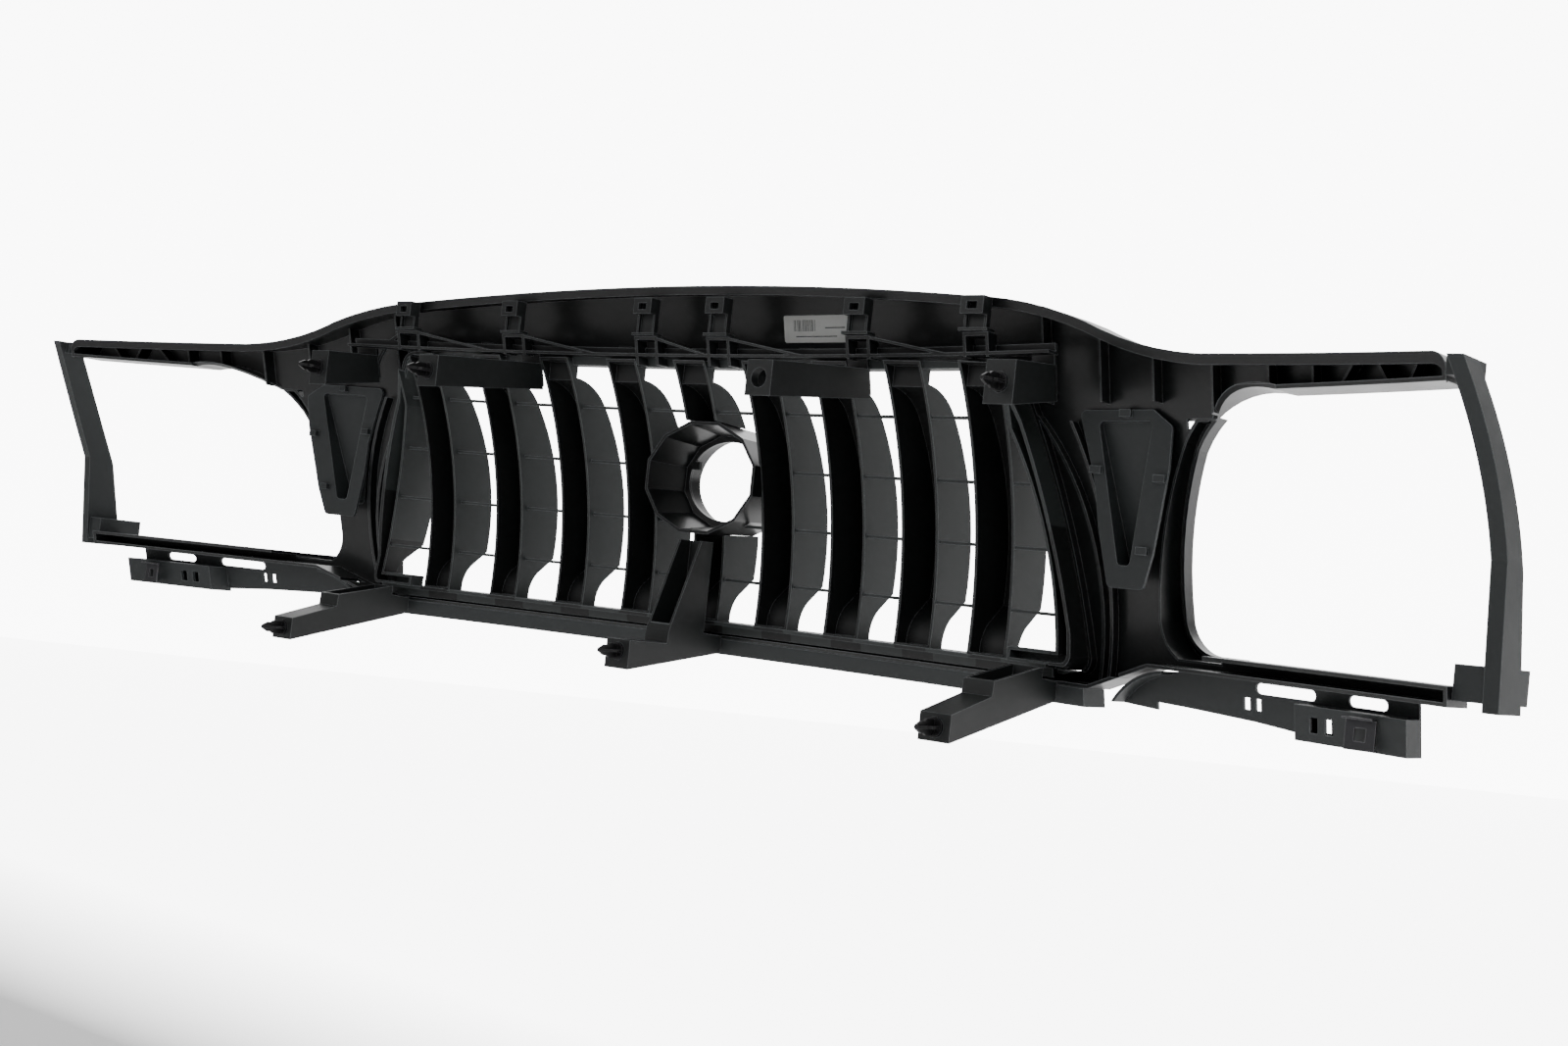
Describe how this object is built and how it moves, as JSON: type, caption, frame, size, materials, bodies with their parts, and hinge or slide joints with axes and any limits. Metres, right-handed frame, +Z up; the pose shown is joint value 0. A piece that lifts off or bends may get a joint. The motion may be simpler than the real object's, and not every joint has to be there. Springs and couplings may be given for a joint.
{
  "type": "front grille",
  "caption": "Car front grille seen as a moulded carrier: hollow vertical slats, oval emblem cup, headlamp surrounds and rear mounting arms.",
  "frame": {"origin": "centre line of the flat rear pad of the centre lower arm, 4 mm above the pad's lower edge", "axes": "+X to the car's left, +Y rearward (the visible face looks along -Y), +Z up; X = 0 is the car's centre plane"},
  "size_m": [1.63, 0.2845, 0.374],
  "materials": {
    "shell": "dark grey moulded, satin rear face",
    "insert": "dark slate grey, fine grain",
    "moulding": "dark slate grey, fine grain",
    "clips": "black nylon",
    "spring": "dark phosphated spring steel",
    "label": "white printed paper label, plain bars"
  },
  "bodies": {
    "root": {"surround_shell": "shell", "grille_insert": "insert", "emblem_housing": "moulding", "corner_insert_left": "moulding", "corner_insert_right": "moulding", "end_post_left": "moulding", "end_post_right": "moulding", "lower_bracket_left": "moulding", "lower_bracket_right": "moulding", "spring_clip_left": "spring", "spring_clip_right": "spring", "upper_carrier": "moulding", "hook_bracket_1": "moulding", "hook_bracket_2": "moulding", "hook_bracket_3": "moulding", "hook_bracket_4": "moulding", "hook_bracket_5": "moulding", "hook_bracket_6": "moulding", "upper_arm_1": "moulding", "upper_arm_2": "moulding", "upper_arm_3": "moulding", "upper_arm_4": "moulding", "lower_carrier": "moulding", "lower_arm_1": "moulding", "lower_arm_2": "moulding", "lower_arm_3": "moulding", "retainer_clips": "clips", "part_label": "label"}
  },
  "joints": []
}
